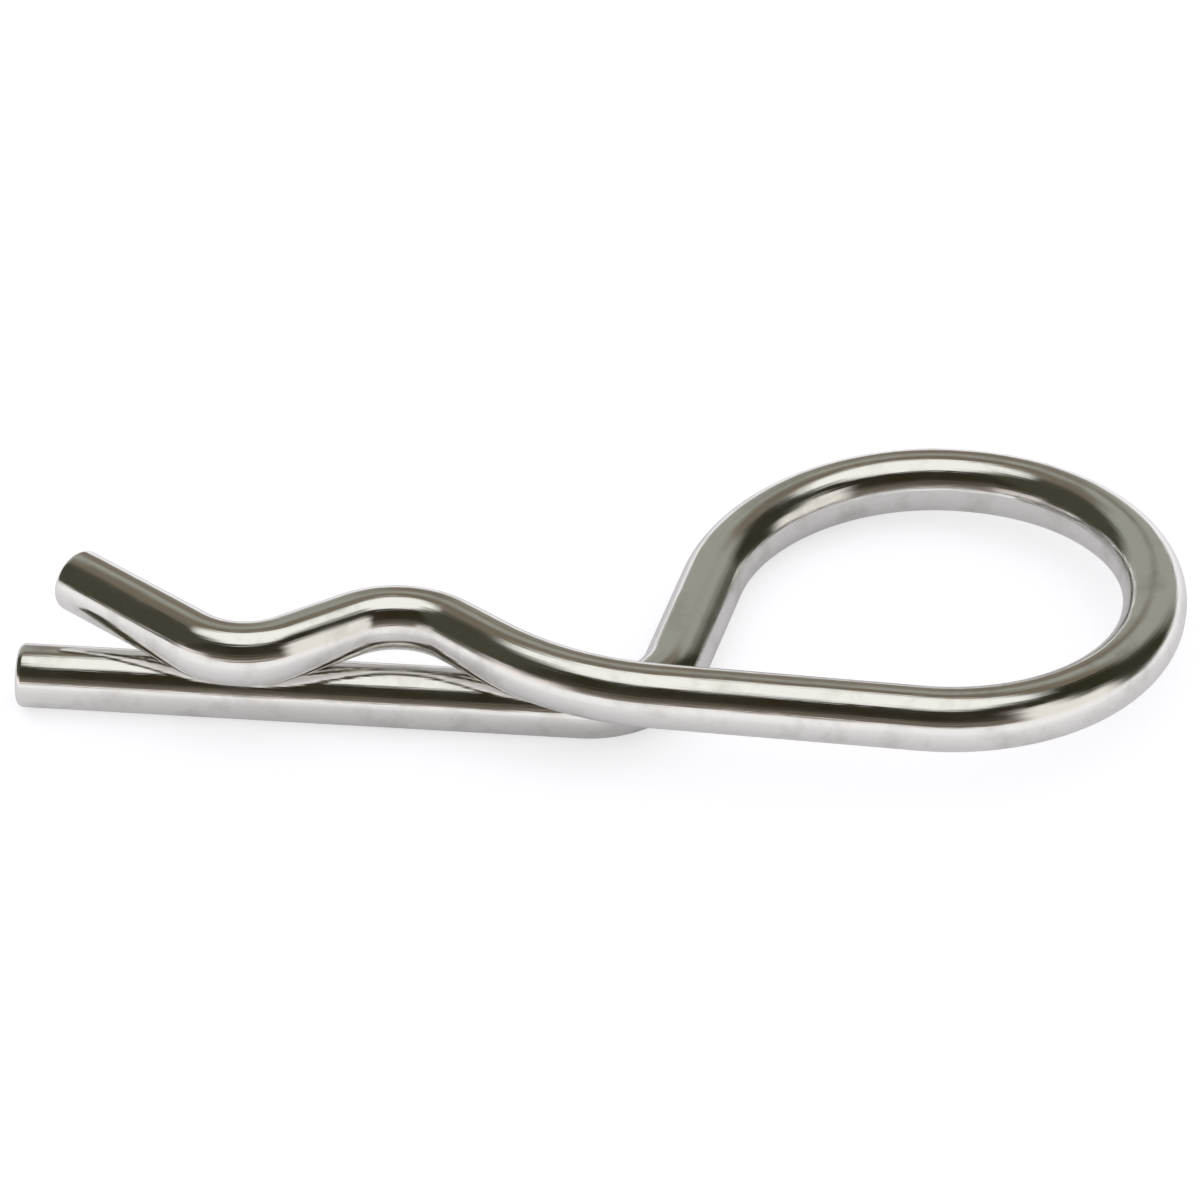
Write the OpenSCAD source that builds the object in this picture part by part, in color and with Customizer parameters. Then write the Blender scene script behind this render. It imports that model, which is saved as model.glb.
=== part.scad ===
// Hitch R-clip: one length of round spring wire, bent to a straight leg, a pull ring and a wavy leg.
// It lies on its side, as it rests on a table: the floor is z = 0, the legs point to -X, the ring is at +X.
// Seen from above, the wire leaves the straight leg's cut end, turns left at the neck, runs clockwise
// round the ring while it climbs by its own thickness, passes over the straight leg, and ends in the
// hump that hugs a shaft, the valley that grips it, and the flared tip that guides it on.
// Every straight run is a cylinder and every bend is an arc of round section, so all curves are true.

/* [Wire] */
// Diameter of the round wire
wire_d = 4; // [3.4:0.1:4.6]
// How much thinner the wire is drawn where it is bent
bend_thinning = 0.02; // [0.01:0.01:0.1]
// Chamfer round both cut ends of the wire
end_chamfer = 0.4; // [0.1:0.1:0.8]

/* [Straight leg] */
// Straight leg, from its cut end to the corner point of the neck bend
leg_length = 39.5; // [38:0.1:48]

/* [Neck and pull ring] */
// How far the neck bend turns the wire away from the straight leg, in degrees
neck_angle = 79.5; // [72:0.5:90]
// Inside radius of the neck bend
neck_inner_r = 3.5; // [2.5:0.1:4.5]
// Inside diameter of the pull ring
ring_inner_d = 23.6; // [21:0.2:30]
// Short straight run between two of the ring's three bends
ring_flat = 0.4; // [0.3:0.1:2]
// How far the wire that returns from the ring lies outside the straight leg, between centre lines
return_offset = 3.5; // [2.5:0.1:4.5]
// Share of the climb over the leg that the wire has made at the ring's far right corner
far_corner_share = 0.35; // [0.2:0.05:0.5]
// Share of the climb that the wire has made at the ring's near right corner
near_corner_share = 0.7; // [0.55:0.05:0.85]

/* [Wavy leg] */
// Clearance between the wavy leg and the straight leg where one passes over the other
crossing_gap = 0.1; // [0.05:0.05:0.6]
// Slope of every straight run of the wave and of the flared tip, seen from above, in degrees
wave_angle = 35; // [30:1:38]
// Inside radius of the gentle bend where the wave starts
rise_inner_r = 15.5; // [8:0.5:17]
// How far the hump's centre line reaches beyond the straight leg's
hump_reach = 2.6; // [2.2:0.1:4.5]
// Inside radius of the hump
hump_inner_r = 3.5; // [2.5:0.1:4]
// Corner point of the valley bend, from the straight leg's cut end
valley_x = 14; // [12:0.1:15]
// How far the valley's centre line falls short of the straight leg's
valley_reach = 1.9; // [1.6:0.1:2.6]
// Inside radius of the valley
valley_inner_r = 3; // [2.5:0.1:3.6]
// Flared tip, from the valley's corner point to its cut end
flare_length = 13.5; // [9:0.1:14.5]

/* [Hidden] */

// Sides of the wire's circle, and of a full turn of a bend
wire_fn = 36;
bend_fn = 90;
// Each straight run reaches this far into the bends at its ends
run_overlap = 0.05;

wire_r = wire_d / 2;
bend_d = wire_d - bend_thinning;
neck_r = neck_inner_r + wire_r;
ring_r = ring_inner_d / 2 + wire_r;
rise_r = rise_inner_r + wire_r;
hump_r = hump_inner_r + wire_r;
valley_r = valley_inner_r + wire_r;
// Centre lines stand this far apart in height where the legs cross
climb = wire_d + crossing_gap;

// The ring's turn is shared by three equal corners, which a round arc joins seen from above
ring_corner = (180 + neck_angle) / 3;
ring_tangent = ring_r * tan(ring_corner / 2);
ring_side = 2 * ring_tangent + ring_flat;
heading_left = neck_angle;
heading_far = neck_angle - ring_corner;
heading_right = neck_angle - 2 * ring_corner;
neck_tangent = neck_r * tan(neck_angle / 2);
// From the neck's corner point to the ring's first, as far as the ring needs to meet the returning wire
neck_to_ring = -(return_offset + ring_side * (sin(heading_far) + sin(heading_right))) / sin(neck_angle);

// A bend's corner point lies outside its arc by this much for each unit of its radius
corner_excess = 1 / cos(wave_angle) - 1;
hump_y = hump_reach + hump_r * corner_excess;
valley_y = -valley_reach - valley_r * corner_excess;
hump_x = valley_x + (hump_y - valley_y) / tan(wave_angle);
rise_x = hump_x + (hump_y + return_offset) / tan(wave_angle);

// Corner points of the centre line, from the straight leg's cut end to the flared tip's
leg_end = [0, 0, 0];
neck = [leg_length, 0, 0];
ring_left = neck + neck_to_ring * heading(heading_left);
ring_far = ring_left + ring_side * heading(heading_far) + [0, 0, far_corner_share * climb];
ring_near_x = ring_far.x + ring_side * cos(heading_right);
ring_near = [ring_near_x, -return_offset, near_corner_share * climb];
rise = [rise_x, -return_offset, climb];
hump = [hump_x, hump_y, climb];
valley = [valley_x, valley_y, climb];
flare_end = [valley_x - flare_length * cos(wave_angle), valley_y + flare_length * sin(wave_angle), climb];
corners = [leg_end, neck, ring_left, ring_far, ring_near, rise, hump, valley, flare_end];
last = len(corners) - 1;

// Length from each corner point to the ends of its arc
ring_half = (norm(ring_far - ring_left) - ring_flat) / 2;
tangents = [
    0,
    neck_r * tan(turn(1) / 2),
    ring_half,
    ring_half,
    norm(ring_near - ring_far) - ring_flat - ring_half,
    rise_r * tan(turn(5) / 2),
    hump_r * tan(turn(6) / 2),
    valley_r * tan(turn(7) / 2),
    0
];

// The box round the clip sets the frame: origin at the middle of its underside
left_arc_centre = ring_left - ring_tangent * heading(heading_left) + ring_r * heading(heading_left - 90);
far_arc_centre = left_arc_centre + ring_flat * heading(heading_far);
box_right = far_arc_centre.x + ring_r + bend_d / 2;
box_far = left_arc_centre.y + ring_r + bend_d / 2;
box_near = -return_offset - wire_r;
to_frame = [-box_right / 2, -(box_far + box_near) / 2, wire_r];

function unit(v) = v / norm(v);

// Level direction at a degrees from +X
function heading(a) = [cos(a), sin(a), 0];

// Direction of the run that leads to corner point i
function run_direction(i) = unit(corners[i] - corners[i - 1]);

// Angle that the wire turns through at corner point i
function turn(i) = acos(run_direction(i) * run_direction(i + 1));

// Puts X, Y and Z along three given unit vectors, with the origin at p
module in_frame(x, y, z, p) {
    multmatrix([
        [x.x, y.x, z.x, p.x],
        [x.y, y.y, z.y, p.y],
        [x.z, y.z, z.z, p.z],
        [0, 0, 0, 1]
    ])
        children();
}

// Straight run that leads to corner point i, with a chamfer where it ends in a cut end
module run(i) {
    along = run_direction(i);
    side = unit(cross(along, [0, 0, 1]));
    at_start = i == 1 ? end_chamfer : -run_overlap;
    at_finish = i == last ? end_chamfer : -run_overlap;
    length = norm(corners[i] - corners[i - 1]) - tangents[i - 1] - tangents[i];
    in_frame(side, cross(along, side), along, corners[i - 1] + tangents[i - 1] * along) {
        translate([0, 0, at_start])
            cylinder(d = wire_d, h = length - at_start - at_finish, $fn = wire_fn);
        if (i == 1)
            cylinder(d1 = wire_d - 2 * end_chamfer, d2 = wire_d, h = end_chamfer, $fn = wire_fn);
        if (i == last)
            translate([0, 0, length - end_chamfer])
                cylinder(d1 = wire_d, d2 = wire_d - 2 * end_chamfer, h = end_chamfer, $fn = wire_fn);
    }
}

// Arc of wire at corner point i
module bend(i) {
    along = run_direction(i);
    onward = run_direction(i + 1);
    inward = unit(onward - (onward * along) * along);
    radius = tangents[i] / tan(turn(i) / 2);
    in_frame(-inward, along, cross(-inward, along), corners[i] - tangents[i] * along + radius * inward)
        rotate_extrude(angle = turn(i), $fn = bend_fn)
            translate([radius, 0])
                circle(d = bend_d, $fn = wire_fn);
}

module clip_wire() {
    color("silver")
        translate(to_frame) {
            for (i = [1:last])
                run(i);
            for (i = [1:last - 1])
                bend(i);
        }
}

clip_wire();
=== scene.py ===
"""Hitch R-clip: one length of bright plated spring wire, lying on a pale studio floor.

The wire is bent here as on a bender: a round cut end is pushed forward along each straight
run and spun round each bend, with the same sizes as the solid part. Blender's unit is the metre.
"""

from math import atan2, cos, pi, radians, sin, tan

import bpy
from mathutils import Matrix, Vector


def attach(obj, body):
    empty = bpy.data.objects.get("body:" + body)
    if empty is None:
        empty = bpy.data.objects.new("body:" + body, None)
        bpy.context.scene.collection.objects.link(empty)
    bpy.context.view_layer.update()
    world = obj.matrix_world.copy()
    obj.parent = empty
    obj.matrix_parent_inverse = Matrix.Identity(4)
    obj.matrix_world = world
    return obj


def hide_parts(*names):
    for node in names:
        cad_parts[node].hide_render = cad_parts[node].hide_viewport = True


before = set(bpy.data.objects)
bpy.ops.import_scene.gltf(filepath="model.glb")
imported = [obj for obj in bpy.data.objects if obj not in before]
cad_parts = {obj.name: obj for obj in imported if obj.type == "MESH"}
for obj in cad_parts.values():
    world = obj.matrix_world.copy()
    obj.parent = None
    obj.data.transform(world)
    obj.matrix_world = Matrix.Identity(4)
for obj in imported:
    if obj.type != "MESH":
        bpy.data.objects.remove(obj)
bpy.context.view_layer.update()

MM = 0.001


# Camera

# The photograph looks down on the clip from a little to the left of square on.
LOOK_DOWN = radians(37.5)
LOOK_SIDE = radians(-5.176)
CAMERA_DISTANCE = 450 * MM
AIM = Vector((-0.752, 0.258, 2.0)) * MM
SENSOR_WIDTH = 36.0
FOCAL_LENGTH = 215.51


def add_camera():
    level = cos(LOOK_DOWN)
    sight = Vector((sin(LOOK_SIDE) * level, cos(LOOK_SIDE) * level, -sin(LOOK_DOWN)))
    bpy.ops.object.camera_add(
        location=AIM - sight * CAMERA_DISTANCE, rotation=sight.to_track_quat("-Z", "Y").to_euler()
    )
    camera = bpy.context.object
    camera.name = "photo_camera"
    camera.data.sensor_fit = "HORIZONTAL"
    camera.data.sensor_width = SENSOR_WIDTH
    camera.data.lens = FOCAL_LENGTH
    camera.data.clip_start = 0.01
    camera.data.clip_end = 50.0
    bpy.context.scene.camera = camera


# The wire's centre line

# The source's sizes, in millimetres and radians. Radii are those of the centre line.
NECK_RADIUS = 5.5
RING_RADIUS = 13.8
RISE_RADIUS = 17.5
HUMP_RADIUS = 5.5
VALLEY_RADIUS = 5.0
LEG_LENGTH = 39.5
NECK_ANGLE = radians(79.5)
RING_FLAT = 0.4
RETURN_OFFSET = 3.5
CLIMB = 4.1
WAVE_ANGLE = radians(35)
HUMP_REACH = 2.6
VALLEY_X = 14.0
VALLEY_REACH = 1.9
FLARE_LENGTH = 13.5

# Half the source's wire on its straight runs and on its bends, which place the clip's box.
HALF_RUN = 2.0
HALF_BEND = 1.99

# How much of the climb the ring has done at its far corner and at its near one.
CLIMB_AT_FAR = 0.35
CLIMB_AT_NEAR = 0.7


def heading(angle):
    return Vector((cos(angle), sin(angle), 0))


def centre_line():
    """The wire's corner points, how far from each its bend begins, and how far each one turns."""
    corner = (pi + NECK_ANGLE) / 3
    tangent = RING_RADIUS * tan(corner / 2)
    side = 2 * tangent + RING_FLAT
    far, right = NECK_ANGLE - corner, NECK_ANGLE - 2 * corner
    to_ring = -(RETURN_OFFSET + side * (sin(far) + sin(right))) / sin(NECK_ANGLE)
    excess = 1 / cos(WAVE_ANGLE) - 1
    hump_y = HUMP_REACH + HUMP_RADIUS * excess
    valley_y = -VALLEY_REACH - VALLEY_RADIUS * excess
    hump_x = VALLEY_X + (hump_y - valley_y) / tan(WAVE_ANGLE)
    rise_x = hump_x + (hump_y + RETURN_OFFSET) / tan(WAVE_ANGLE)
    neck = Vector((LEG_LENGTH, 0, 0))
    ring_left = neck + heading(NECK_ANGLE) * to_ring
    ring_far = ring_left + heading(far) * side + Vector((0, 0, CLIMB_AT_FAR * CLIMB))
    ring_near = Vector((ring_far.x + side * cos(right), -RETURN_OFFSET, CLIMB_AT_NEAR * CLIMB))
    valley = Vector((VALLEY_X, valley_y, CLIMB))
    corners = [
        Vector((0, 0, 0)),
        neck,
        ring_left,
        ring_far,
        ring_near,
        Vector((rise_x, -RETURN_OFFSET, CLIMB)),
        Vector((hump_x, hump_y, CLIMB)),
        valley,
        valley + Vector((-cos(WAVE_ANGLE), sin(WAVE_ANGLE), 0)) * FLARE_LENGTH,
    ]
    # The clip's box is centred on the origin and stands on z = 0.
    to_arc = heading(NECK_ANGLE - pi / 2) * RING_RADIUS - heading(NECK_ANGLE) * tangent
    left_arc = ring_left + to_arc
    far_arc = left_arc + heading(far) * RING_FLAT
    ring_right = far_arc.x + RING_RADIUS + HALF_BEND
    ring_back = left_arc.y + RING_RADIUS + HALF_BEND
    shift = Vector((-ring_right / 2, -(ring_back - RETURN_OFFSET - HALF_RUN) / 2, HALF_RUN))
    half = ((ring_far - ring_left).length - RING_FLAT) / 2
    ways = [after - before for before, after in zip(corners, corners[1:])]
    turns = [0] + [before.angle(after) for before, after in zip(ways, ways[1:])] + [0]
    begins = [
        0,
        NECK_RADIUS * tan(turns[1] / 2),
        half,
        half,
        (ring_near - ring_far).length - RING_FLAT - half,
        RISE_RADIUS * tan(turns[5] / 2),
        HUMP_RADIUS * tan(turns[6] / 2),
        VALLEY_RADIUS * tan(turns[7] / 2),
        0,
    ]
    return [(c + shift) * MM for c in corners], [b * MM for b in begins], turns


# Bending the wire

# The drawn wire and its cut faces stay a hair inside the source's.
WIRE_RADIUS = 1.985 * MM
CUT_BACK = 0.01 * MM
SIDES = 96
RUN_STEP = 1.5 * MM
BEND_STEP = radians(3)
FEWEST_BEND_STEPS = 4
EDGE_ROUNDING = 0.42 * MM
EDGE_TURNS = (0, 18, 36, 54, 72, 90)

# Width and sink of each band of a cut face: burnished rim, step and middle, in millimetres.
CUT_BANDS = ((0.16, 0.0), (0.22, 0.025), (0.55, 0.012))
RIM_WIDTH = 0.12 * MM
SMOOTH_BELOW = radians(25)


def push(step):
    bpy.ops.mesh.extrude_region_move(TRANSFORM_OT_translate={"value": step})


def grow(factor, centre):
    bpy.ops.transform.resize(value=(factor, factor, factor), center_override=centre)


def edge_profile():
    """Distance from the cut face and radius of each ring of the rounded edge, from the cut inward."""
    return [
        (EDGE_ROUNDING * (1 - cos(radians(t))), WIRE_RADIUS - EDGE_ROUNDING * (1 - sin(radians(t))))
        for t in EDGE_TURNS
    ]


def walk_edge(cut, inward, profile):
    """Pushes the open end through the rings of a rounded edge, whose cut face lies at cut."""
    for (was, radius), (now, wanted) in zip(profile, profile[1:]):
        push(inward * (now - was))
        grow(wanted / radius, cut + inward * now)


def close_end(wire, cut, outward):
    """Closes the open end at cut with a sheared face: a burnished rim round a slightly sunk middle."""
    bpy.ops.mesh.select_all(action="DESELECT")
    bpy.ops.object.mode_set(mode="OBJECT")
    for edge in wire.data.edges:
        ends = [wire.data.vertices[v].co - cut for v in edge.vertices]
        edge.select = all(abs(end.dot(outward)) < 1e-6 and end.length < WIRE_RADIUS for end in ends)
    bpy.ops.object.mode_set(mode="EDIT")
    bpy.ops.mesh.select_mode(type="EDGE")
    bpy.ops.mesh.edge_face_add()
    bpy.ops.mesh.select_mode(type="FACE")
    for width, sink in CUT_BANDS:
        bpy.ops.mesh.inset(thickness=width * MM, depth=0)
        bpy.ops.transform.translate(value=outward * -sink * MM)
    bpy.ops.mesh.select_mode(type="VERT")


def bend_wire(corners, begins, turns):
    """Draws the wire from the straight leg's cut end to the flare's, and closes both."""
    last = len(corners) - 1
    runs = [(after - before).normalized() for before, after in zip(corners, corners[1:])]
    profile = edge_profile()
    first_cut = corners[0] + runs[0] * CUT_BACK
    last_cut = corners[last] - runs[-1] * CUT_BACK
    bpy.ops.object.select_all(action="DESELECT")
    bpy.ops.mesh.primitive_circle_add(
        vertices=SIDES,
        radius=profile[0][1],
        fill_type="NOTHING",
        location=first_cut,
        rotation=(0, pi / 2, 0),
    )
    wire = bpy.context.object
    wire.name = "bent_wire"
    bpy.ops.object.transform_apply(location=True, rotation=True, scale=True)
    bpy.ops.object.mode_set(mode="EDIT")
    bpy.ops.mesh.select_all(action="SELECT")
    walk_edge(first_cut, runs[0], profile)
    for i, along in enumerate(runs):
        start = corners[i] + along * (begins[i] if i else CUT_BACK + EDGE_ROUNDING)
        is_last = i + 1 == last
        finish = corners[i + 1] - along * (CUT_BACK + EDGE_ROUNDING if is_last else begins[i + 1])
        left = (finish - start).dot(along)
        steps = max(1, round(left / RUN_STEP))
        for _ in range(steps):
            push(along * left / steps)
        if not is_last:
            turn = turns[i + 1]
            axis = along.cross(runs[i + 1]).normalized()
            radius = begins[i + 1] / tan(turn / 2)
            bpy.ops.mesh.spin(
                steps=max(FEWEST_BEND_STEPS, round(turn / BEND_STEP)),
                angle=-turn,
                center=finish + axis.cross(along).normalized() * radius,
                axis=axis,
            )
    walk_edge(last_cut, -runs[-1], profile[::-1])
    close_end(wire, first_cut, -runs[0])
    close_end(wire, last_cut, runs[-1])
    bpy.ops.mesh.select_all(action="SELECT")
    bpy.ops.mesh.normals_make_consistent(inside=False)
    bpy.ops.object.mode_set(mode="OBJECT")
    bpy.ops.object.shade_smooth_by_angle(angle=SMOOTH_BELOW)
    unroll(wire, corners, begins, turns, runs)
    return wire


def stations_along(corners, begins, turns, runs):
    """Place, direction and distance gone of points along the centre line."""
    stations = []
    gone = 0.0
    for i, along in enumerate(runs):
        start = corners[i] + along * begins[i]
        length = (corners[i + 1] - corners[i]).length - begins[i] - begins[i + 1]
        steps = max(1, round(length / RUN_STEP))
        for k in range(steps + 1):
            share = length * k / steps
            stations.append((start + along * share, along, gone + share))
        gone += length
        if i + 1 < len(runs):
            turn = turns[i + 1]
            axis = along.cross(runs[i + 1]).normalized()
            inward = axis.cross(along).normalized()
            radius = begins[i + 1] / tan(turn / 2)
            centre = corners[i + 1] - along * begins[i + 1] + inward * radius
            steps = max(FEWEST_BEND_STEPS, round(turn / BEND_STEP))
            for k in range(1, steps):
                t = turn * k / steps
                place = centre - inward * radius * cos(t) + along * radius * sin(t)
                stations.append((place, along * cos(t) + inward * sin(t), gone + radius * t))
            gone += radius * turn
    return stations


def unroll(wire, corners, begins, turns, runs):
    """Surface coordinates of the drawn wire: u once round it, v along it in wire diameters."""
    stations = stations_along(corners, begins, turns, runs)
    flat = []
    up = Vector((0, 0, 1))
    for v in wire.data.vertices:
        place, direction, distance = min(
            stations, key=lambda station: (v.co - station[0]).length_squared
        )
        side = direction.cross(up).normalized()
        off = v.co - place
        round_it = atan2(off.dot(side), off.dot(side.cross(direction))) / (2 * pi) + 0.5
        flat.append((round_it, (distance + off.dot(direction)) / (2 * WIRE_RADIUS)))
    layer = wire.data.uv_layers.new(name="along_wire")
    for face in wire.data.polygons:
        spread = [flat[v][0] for v in face.vertices]
        wraps = max(spread) - min(spread) > 0.5
        for loop in face.loop_indices:
            u, v = flat[wire.data.loops[loop].vertex_index]
            layer.data[loop].uv = (u + 1 if wraps and u < 0.5 else u, v)


# Nodes


def linear(r, g, b):
    """A colour given as 0 to 255 screen values."""
    shares = [c / 255 for c in (r, g, b)]
    return tuple(((s + 0.055) / 1.055) ** 2.4 if s > 0.04 else s / 12.92 for s in shares) + (1.0,)


class Wiring:
    """Places nodes in one node tree and links them."""

    def __init__(self, tree):
        self.nodes = tree.nodes
        self.links = tree.links

    def feed(self, socket, value):
        """Links a node's output to the socket, or sets the socket to a value."""
        if isinstance(value, bpy.types.NodeSocket):
            self.links.new(value, socket)
        else:
            socket.default_value = value

    def feed_all(self, node, values):
        for name, value in values.items():
            self.feed(node.inputs[name], value)
        return node.outputs

    def add(self, kind, values):
        """Places a node whose inputs are given by name, and hands back its outputs."""
        return self.feed_all(self.nodes.new(kind), values)

    def math(self, operation, *values):
        node = self.nodes.new("ShaderNodeMath")
        node.operation = operation
        for socket, value in zip(node.inputs, values):
            self.feed(socket, value)
        return node.outputs[0]

    def ramp(self, value, low, high, start, finish, kind="LINEAR"):
        node = self.nodes.new("ShaderNodeMapRange")
        node.interpolation_type = kind
        limits = {"From Min": low, "From Max": high, "To Min": start, "To Max": finish}
        return self.feed_all(node, {"Value": value, **limits})["Result"]

    def mix(self, share, first, second):
        node = self.nodes.new("ShaderNodeMix")
        node.data_type = "RGBA"
        return self.feed_all(node, {"Factor": share, "A": first, "B": second})["Result"]

    def noise(self, place, scale, detail, roughness):
        values = {"Vector": place, "Scale": scale, "Detail": detail, "Roughness": roughness}
        return self.add("ShaderNodeTexNoise", values)["Fac"]

    def placed_group(self, group, values):
        node = self.nodes.new("ShaderNodeGroup")
        node.node_tree = group
        return self.feed_all(node, values)


def new_group(name, inputs, outputs):
    """An empty group with named float sockets, its wiring, what comes in and what goes out."""
    group = bpy.data.node_groups.new(name, "ShaderNodeTree")
    for socket, value in inputs.items():
        made = group.interface.new_socket(socket, in_out="INPUT", socket_type="NodeSocketFloat")
        made.default_value = value
    for socket in outputs:
        group.interface.new_socket(socket, in_out="OUTPUT", socket_type="NodeSocketFloat")
    wiring = Wiring(group)
    entry = wiring.nodes.new("NodeGroupInput").outputs
    out = wiring.nodes.new("NodeGroupOutput").inputs
    return group, wiring, entry, out


# Materials

# How slowly the drawing lines change along the wire, beside how fast they change round it.
LINE_CREEP = 0.035

# Shares of the ripple and of the drawing lines in the surface's height.
RIPPLE_SHARE = 0.8
LINE_SHARE = 0.2

BUMP_STRENGTH = 0.5


def plating_grain_group():
    """Marks of drawn and plated wire: drawing lines along it, haze, and the height of its ripple."""
    inputs = {"Line Density": 14.0, "Haze Scale": 420.0, "Ripple Scale": 260.0, "Upright Stretch": 1.0}
    group, wiring, entry, out = new_group("plating_grain", inputs, ("Lines", "Haze", "Height"))

    # Round the wire as a circle, so that the lines meet without a seam, and slowly along it.
    chart = wiring.nodes.new("ShaderNodeUVMap")
    chart.uv_map = "along_wire"
    parts = wiring.add("ShaderNodeSeparateXYZ", {0: chart.outputs[0]})
    turn = wiring.math("MULTIPLY", parts["X"], 2 * pi)
    circle = {
        "X": wiring.math("COSINE", turn),
        "Y": wiring.math("SINE", turn),
        "Z": wiring.math("MULTIPLY", parts["Y"], LINE_CREEP),
    }
    drawn = wiring.add("ShaderNodeCombineXYZ", circle)[0]
    lines = wiring.noise(drawn, entry["Line Density"], 3.0, 0.6)

    place = wiring.add("ShaderNodeTexCoord", {})["Object"]
    parts = wiring.add("ShaderNodeSeparateXYZ", {0: place})
    height = wiring.math("DIVIDE", parts["Z"], entry["Upright Stretch"])
    stretched = wiring.add("ShaderNodeCombineXYZ", {"X": parts["X"], "Y": parts["Y"], "Z": height})[0]
    haze = wiring.noise(stretched, entry["Haze Scale"], 3.0, 0.55)
    ripple = wiring.noise(stretched, entry["Ripple Scale"], 1.0, 0.4)

    relief = wiring.math("MULTIPLY", ripple, RIPPLE_SHARE), wiring.math("MULTIPLY", lines, LINE_SHARE)
    wiring.feed(out["Lines"], lines)
    wiring.feed(out["Haze"], haze)
    wiring.feed(out["Height"], wiring.math("ADD", *relief))
    return group


def plated_metal(name, grain, marks, bump_depth):
    """A plated metal with a ripple of its own, its wiring, its shader's inputs and its marks."""
    material = bpy.data.materials.new(name)
    material.use_nodes = True
    wiring = Wiring(material.node_tree)
    marks = wiring.placed_group(grain, marks)
    bump = {"Strength": BUMP_STRENGTH, "Distance": bump_depth, "Height": marks["Height"]}
    shader = material.node_tree.nodes["Principled BSDF"].inputs
    wiring.feed(shader["Metallic"], 1.0)
    wiring.feed(shader["Normal"], wiring.add("ShaderNodeBump", bump)["Normal"])
    return material, wiring, shader, marks


def plated_wire(grain):
    material, wiring, shader, marks = plated_metal("plated_wire", grain, {}, 0.0001)
    # Thin smears of handling lie over the bright plating, and the drawing lines show faintly through it.
    smears = wiring.ramp(marks["Haze"], 0.50, 0.74, 0.0, 1.0)
    bright, smeared = (0.86, 0.85, 0.82, 1.0), (0.70, 0.68, 0.645, 1.0)
    wiring.feed(shader["Base Color"], wiring.mix(smears, bright, smeared))
    soft = wiring.ramp(marks["Haze"], 0.35, 0.75, 0.04, 0.15)
    drawn = wiring.ramp(marks["Lines"], 0.35, 0.70, 0.0, 0.06)
    wiring.feed(shader["Roughness"], wiring.math("ADD", soft, drawn))
    return material


def sheared_end(grain):
    # Upright lines left by the cutter, under the same plating as the wire.
    cutter_marks = {"Haze Scale": 3200.0, "Ripple Scale": 2100.0, "Upright Stretch": 7.0}
    material, wiring, shader, marks = plated_metal("sheared_end", grain, cutter_marks, 0.00005)
    torn = wiring.ramp(marks["Haze"], 0.42, 0.68, 0.0, 1.0)
    clean, rough = (0.80, 0.79, 0.76, 1.0), (0.60, 0.585, 0.555, 1.0)
    wiring.feed(shader["Base Color"], wiring.mix(torn, clean, rough))
    wiring.feed(shader["Roughness"], wiring.ramp(marks["Haze"], 0.3, 0.7, 0.2, 0.42))
    return material


def dress(wire, corners):
    """Plates the wire, and gives the middle of each cut face the cutter's lines."""
    grain = plating_grain_group()
    wire.data.materials.append(plated_wire(grain))
    wire.data.materials.append(sheared_end(grain))
    cuts = (
        (corners[0], (corners[0] - corners[1]).normalized()),
        (corners[-1], (corners[-1] - corners[-2]).normalized()),
    )
    face_radius = WIRE_RADIUS - EDGE_ROUNDING - RIM_WIDTH
    for face in wire.data.polygons:
        for cut, outward in cuts:
            if face.normal.dot(outward) > 0.95 and (face.center - cut).length < face_radius:
                face.material_index = 1


# Studio floor

FLOOR_SIZE = 6.0
# Painted shade: half sizes of the oval round the clip in which the paper, as metal mirrors it, is
# painted dim in place of the clip's shadow, in metres.
PAINTED_SHADE_OVAL = (0.048, 0.022)
# Where the painted shade begins to fade and where it is gone, in ovals, and the strengths of the
# mirrored paper there.
PAINTED_SHADE_FADE = (0.55, 1.7, 0.15, 0.47)
# Strength seen by the camera, over the light that falls on the paper.
SEEN_STRENGTH = 0.61


def mirrored_or_clear(wiring, path):
    """1 for rays that metal mirrors or glass lets through, and 0 for all others."""
    return wiring.math("MAXIMUM", path["Is Glossy Ray"], path["Is Transmission Ray"])


def studio_floor():
    bpy.ops.object.select_all(action="DESELECT")
    bpy.ops.mesh.primitive_plane_add(size=FLOOR_SIZE, location=(0, 0, 0))
    floor = bpy.context.object
    floor.name = "studio_floor"
    material = bpy.data.materials.new("studio_floor")
    material.use_nodes = True
    wiring = Wiring(material.node_tree)
    shader = material.node_tree.nodes["Principled BSDF"].inputs
    wiring.feed(shader["Base Color"], (0.50, 0.487, 0.515, 1.0))
    wiring.feed(shader["Roughness"], 0.9)
    wiring.feed(shader["Specular IOR Level"], 0.0)
    wiring.feed(shader["Emission Color"], (1.0, 1.0, 1.0, 1.0))
    # Painted shade: the paper that metal mirrors is painted dim near the clip, in place of the clip's
    # shadow, and brightens away from it, with the distance out in ovals.
    place = wiring.add("ShaderNodeTexCoord", {})["Object"]
    parts = wiring.add("ShaderNodeSeparateXYZ", {0: place})
    squares = [
        wiring.math("POWER", wiring.math("DIVIDE", parts[axis], half), 2.0)
        for axis, half in zip("XY", PAINTED_SHADE_OVAL)
    ]
    bright = wiring.ramp(wiring.math("SQRT", wiring.math("ADD", *squares)), *PAINTED_SHADE_FADE)
    path = wiring.add("ShaderNodeLightPath", {})
    mirrored = wiring.math("MULTIPLY", mirrored_or_clear(wiring, path), bright)
    seen = wiring.math("MULTIPLY", path["Is Camera Ray"], SEEN_STRENGTH)
    wiring.feed(shader["Emission Strength"], wiring.math("ADD", mirrored, seen))
    floor.data.materials.append(material)


# Studio surroundings

CARD_INPUTS = ("Turn", "Half Width", "Low", "High", "Side Blur", "Edge Blur")


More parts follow.
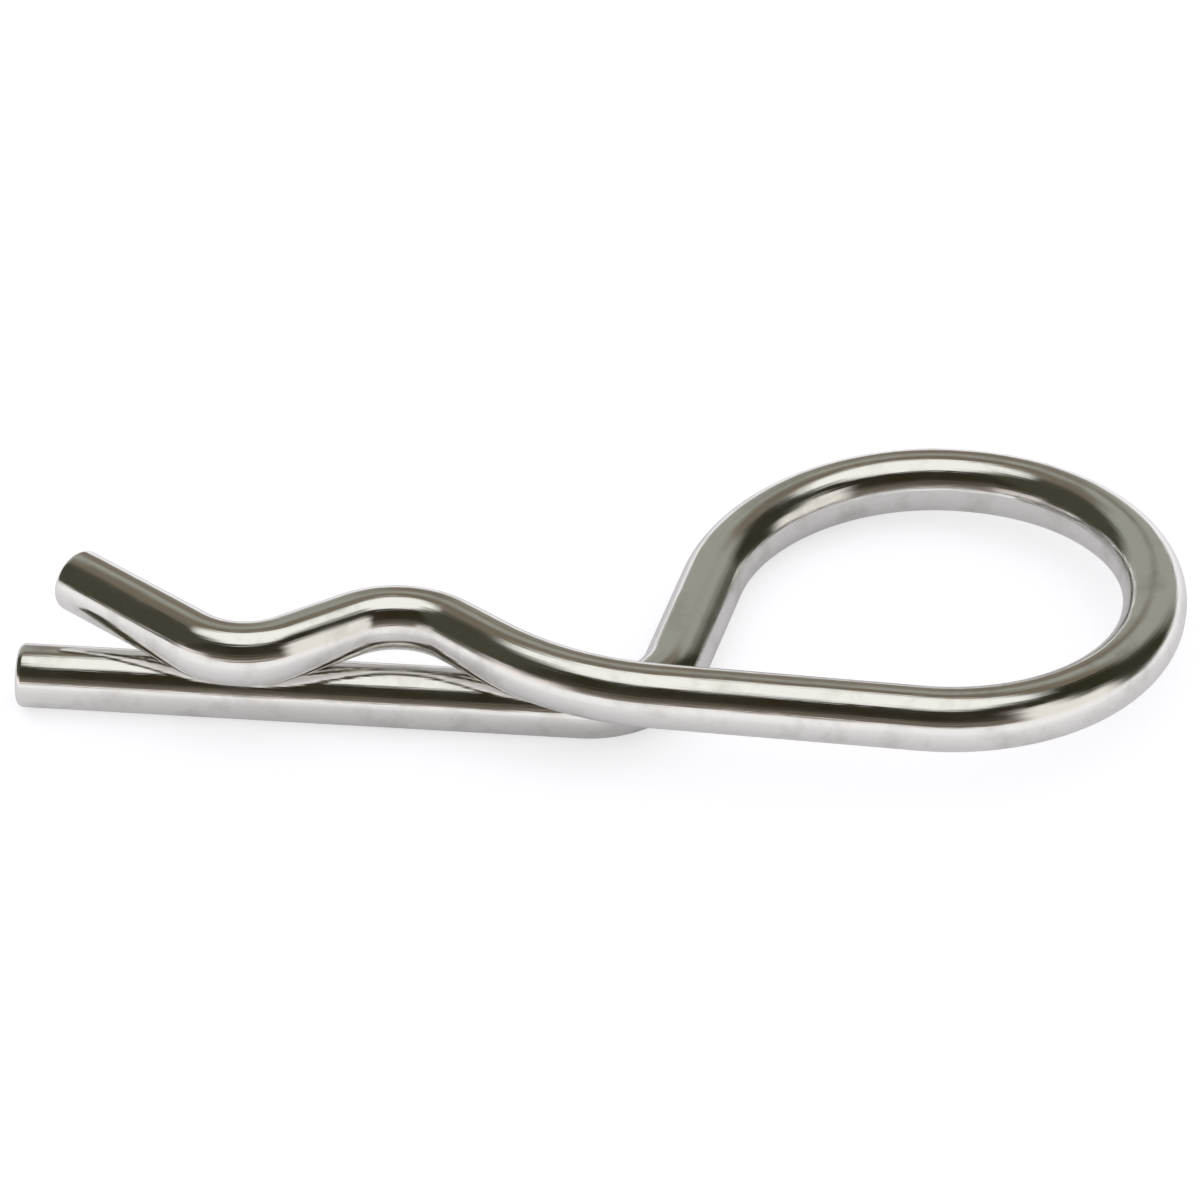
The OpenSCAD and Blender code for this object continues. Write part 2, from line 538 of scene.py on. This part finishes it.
def studio_card_group():
    """Mask of a soft-edged card in the surroundings, by its turn, half width and heights in degrees."""
    inputs = dict(zip(CARD_INPUTS, (0.0, 30.0, 0.0, 45.0, 8.0, 6.0)))
    group, wiring, entry, out = new_group("studio_card", inputs, ("Mask",))

    def edge(value, start, finish):
        return wiring.ramp(value, start, finish, 0.0, 1.0, "SMOOTHSTEP")

    turned = wiring.nodes.new("ShaderNodeVectorRotate")
    turned.rotation_type = "Z_AXIS"
    way = wiring.add("ShaderNodeTexCoord", {})["Generated"]
    turn = wiring.feed_all(turned, {"Vector": way, "Angle": wiring.math("RADIANS", entry["Turn"])})
    parts = wiring.add("ShaderNodeSeparateXYZ", {0: turn[0]})
    sideways = wiring.math("DEGREES", wiring.math("ARCTAN2", parts["X"], parts["Y"]))
    height = wiring.math("DEGREES", wiring.math("ARCSINE", parts["Z"]))

    def limits(level, blur):
        return wiring.math("SUBTRACT", level, blur), wiring.math("ADD", level, blur)

    inner, outer = limits(entry["Half Width"], entry["Side Blur"])
    low_start, low_finish = limits(entry["Low"], entry["Edge Blur"])
    high_start, high_finish = limits(entry["High"], entry["Edge Blur"])
    across = edge(wiring.math("ABSOLUTE", sideways), outer, inner)
    above = edge(height, low_start, low_finish)
    below = edge(height, high_finish, high_start)
    mask = wiring.math("MULTIPLY", wiring.math("MULTIPLY", across, above), below)
    wiring.feed(out["Mask"], mask)
    return group


# What the metal mirrors. Each card covers those before it. Turn is measured in degrees from
# straight behind the clip towards +X, and the heights in degrees above the floor.
SURROUNDINGS = (158, 159, 150)
CARDS = [
    # turn, half width, low, high, side blur, edge blur, screen colour
    (-4, 7, 4, 30, 6, 4, (122, 114, 102)),
    (-10, 75, 43, 63, 12, 5, (116, 108, 95)),
    (-100, 48, -30, 64, 10, 5, (68, 66, 54)),
    (-170, 42, -30, 68, 8, 4, (46, 42, 29)),
    (71, 27, 4, 66, 12, 5, (48, 48, 34)),
    (104, 60, 44, 68, 14, 3, (46, 43, 30)),
    (150, 34, -30, 68, 8, 4, (44, 38, 26)),
    (176, 50, -30, 22, 12, 16, (122, 114, 104)),
    (111, 23, -30, 29, 7, 4, (242, 238, 232)),
    (119, 12, 14, 46, 8, 4, (242, 238, 232)),
    (-132, 15, -30, 17, 6, 5, (238, 230, 228)),
    (180, 84, -90, 7, 10, 2, (252, 248, 246)),
    (0, 95, -90, 1, 10, 2, (240, 240, 240)),
    (0, 84, 63, 200, 16, 4, (255, 255, 250)),
    (0, 200, 69, 200, 8, 4, (255, 255, 250)),
]


def studio_world():
    """Plain white light, in which metal mirrors a dim studio with its cards."""
    world = bpy.data.worlds.new("studio")
    world.use_nodes = True
    bpy.context.scene.world = world
    world.node_tree.nodes.clear()
    wiring = Wiring(world.node_tree)
    group = studio_card_group()
    studio = linear(*SURROUNDINGS)
    for *measures, shade in CARDS:
        mask = wiring.placed_group(group, dict(zip(CARD_INPUTS, measures)))["Mask"]
        studio = wiring.mix(mask, studio, linear(*shade))
    mirrored = wiring.add("ShaderNodeBackground", {"Color": studio})[0]
    plain = wiring.add("ShaderNodeBackground", {"Color": (1.0, 1.0, 1.0, 1.0)})[0]
    path = wiring.add("ShaderNodeLightPath", {})
    choice = {0: mirrored_or_clear(wiring, path), 1: plain, 2: mirrored}
    shown = wiring.add("ShaderNodeMixShader", choice)[0]
    wiring.add("ShaderNodeOutputWorld", {"Surface": shown})


# Scene

bpy.context.scene.view_settings.view_transform = "Standard"
add_camera()
studio_floor()
studio_world()

corners, begins, turns = centre_line()
wire = bend_wire(corners, begins, turns)
dress(wire, corners)
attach(wire, "root")
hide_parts("clip_wire")
